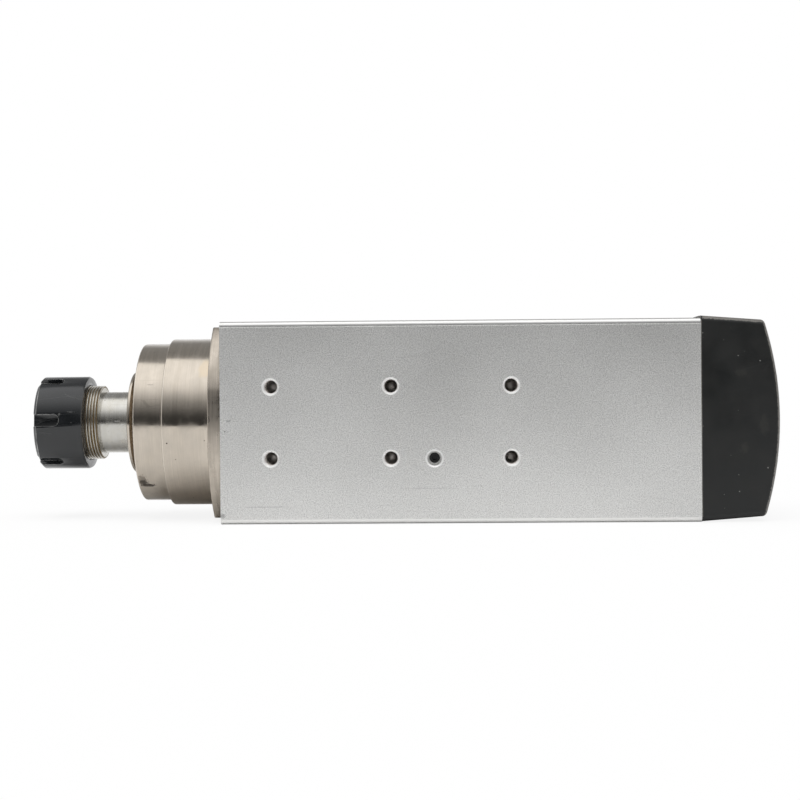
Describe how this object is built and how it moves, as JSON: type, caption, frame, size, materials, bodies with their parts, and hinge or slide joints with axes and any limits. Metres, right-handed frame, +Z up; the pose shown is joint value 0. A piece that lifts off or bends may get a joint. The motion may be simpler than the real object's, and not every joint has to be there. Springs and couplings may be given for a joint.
{
  "type": "motor spindle",
  "caption": "Air-cooled motor spindle: square extruded housing with a bored mounting face, stepped steel nose, collet and nut, domed rear fan cover.",
  "frame": {"origin": "centre of the collet's mouth, in the front plane of the collet nut", "axes": "+X along the spindle axis from the tool end to the fan end; -Y out of the bored mounting face; +Z up"},
  "size_m": [0.3883, 0.153, 0.1041],
  "materials": {
    "anodised_housing": "bead-blasted, clear anodised",
    "nose_steel": "turned, warm nickel tone",
    "shaft_steel": "ground and polished",
    "black_steel": "black oxide, satin",
    "collet_steel": "ground",
    "seal_steel": "turned",
    "bearing_steel": "polished",
    "cage": "brown phenolic cage",
    "lamination": "stacked sheet steel",
    "copper": "varnished copper wire",
    "cast_aluminium": "cast",
    "spring_steel": "spring steel",
    "cover_plastic": "moulded black, fine texture",
    "fan_plastic": "moulded",
    "box_paint": "die cast, satin",
    "rubber": "moulded",
    "terminal_plastic": "moulded",
    "brass": "machined",
    "gland_plastic": "moulded"
  },
  "bodies": {
    "housing_body": {"housing": "anodised_housing", "front_bearing_housing": "nose_steel", "flange_screws": "black_steel", "front_seal_cap": "seal_steel", "seal_cap_screws": "black_steel", "front_bearing_1_outer_ring": "bearing_steel", "front_bearing_2_outer_ring": "bearing_steel", "outer_spacer": "shaft_steel", "stator_core": "lamination", "stator_lock_screw": "black_steel", "stator_winding_front": "copper", "stator_winding_rear": "copper", "rear_bearing_bracket": "cast_aluminium", "bracket_screws": "black_steel", "rear_bearing_outer_ring": "bearing_steel", "wave_spring": "spring_steel", "rear_cover": "cover_plastic", "cover_screws": "black_steel", "terminal_box_base": "box_paint", "terminal_box_screws": "black_steel", "terminal_box_gasket": "rubber", "terminal_box_lid": "box_paint", "lid_screws": "black_steel", "terminal_block": "terminal_plastic", "terminal_clamps": "brass", "cable_gland_body": "gland_plastic", "cable_gland_seal": "rubber", "cable_gland_nut": "gland_plastic", "cable_gland_locknut": "gland_plastic"},
    "spindle_rotor": {"spindle_shaft": "shaft_steel", "slinger_ring": "shaft_steel", "front_bearing_1_inner_ring": "bearing_steel", "front_bearing_2_inner_ring": "bearing_steel", "front_bearing_1_ball_cage": "cage", "front_bearing_2_ball_cage": "cage", "inner_spacer": "shaft_steel", "front_locknut": "black_steel", "rotor_core": "lamination", "rotor_end_rings": "cast_aluminium", "rear_bearing_inner_ring": "bearing_steel", "rear_bearing_ball_cage": "cage", "rear_locknut": "black_steel", "cooling_fan": "fan_plastic", "fan_screw": "black_steel"},
    "collet_body": {"collet": "collet_steel"},
    "nut_body": {"collet_nut": "black_steel"}
  },
  "joints": [
    {"name": "spindle_spin", "type": "hinge", "parent": "housing_body", "child": "spindle_rotor", "pos_m": [0.2, 0, 0], "axis": [1, 0, 0], "continuous": true},
    {"name": "collet_slide", "type": "slide", "parent": "spindle_rotor", "child": "collet_body", "axis": [-1, 0, 0], "range_m": [0, 0.0135]},
    {"name": "nut_turn", "type": "hinge", "parent": "collet_body", "child": "nut_body", "pos_m": [0.0125, 0, 0], "axis": [-1, 0, 0], "range_deg": [0, 3240]}
  ],
  "couplings": [
    {"joint": "collet_slide", "follows": "nut_turn", "m_per_rad": 0.00023873}
  ]
}
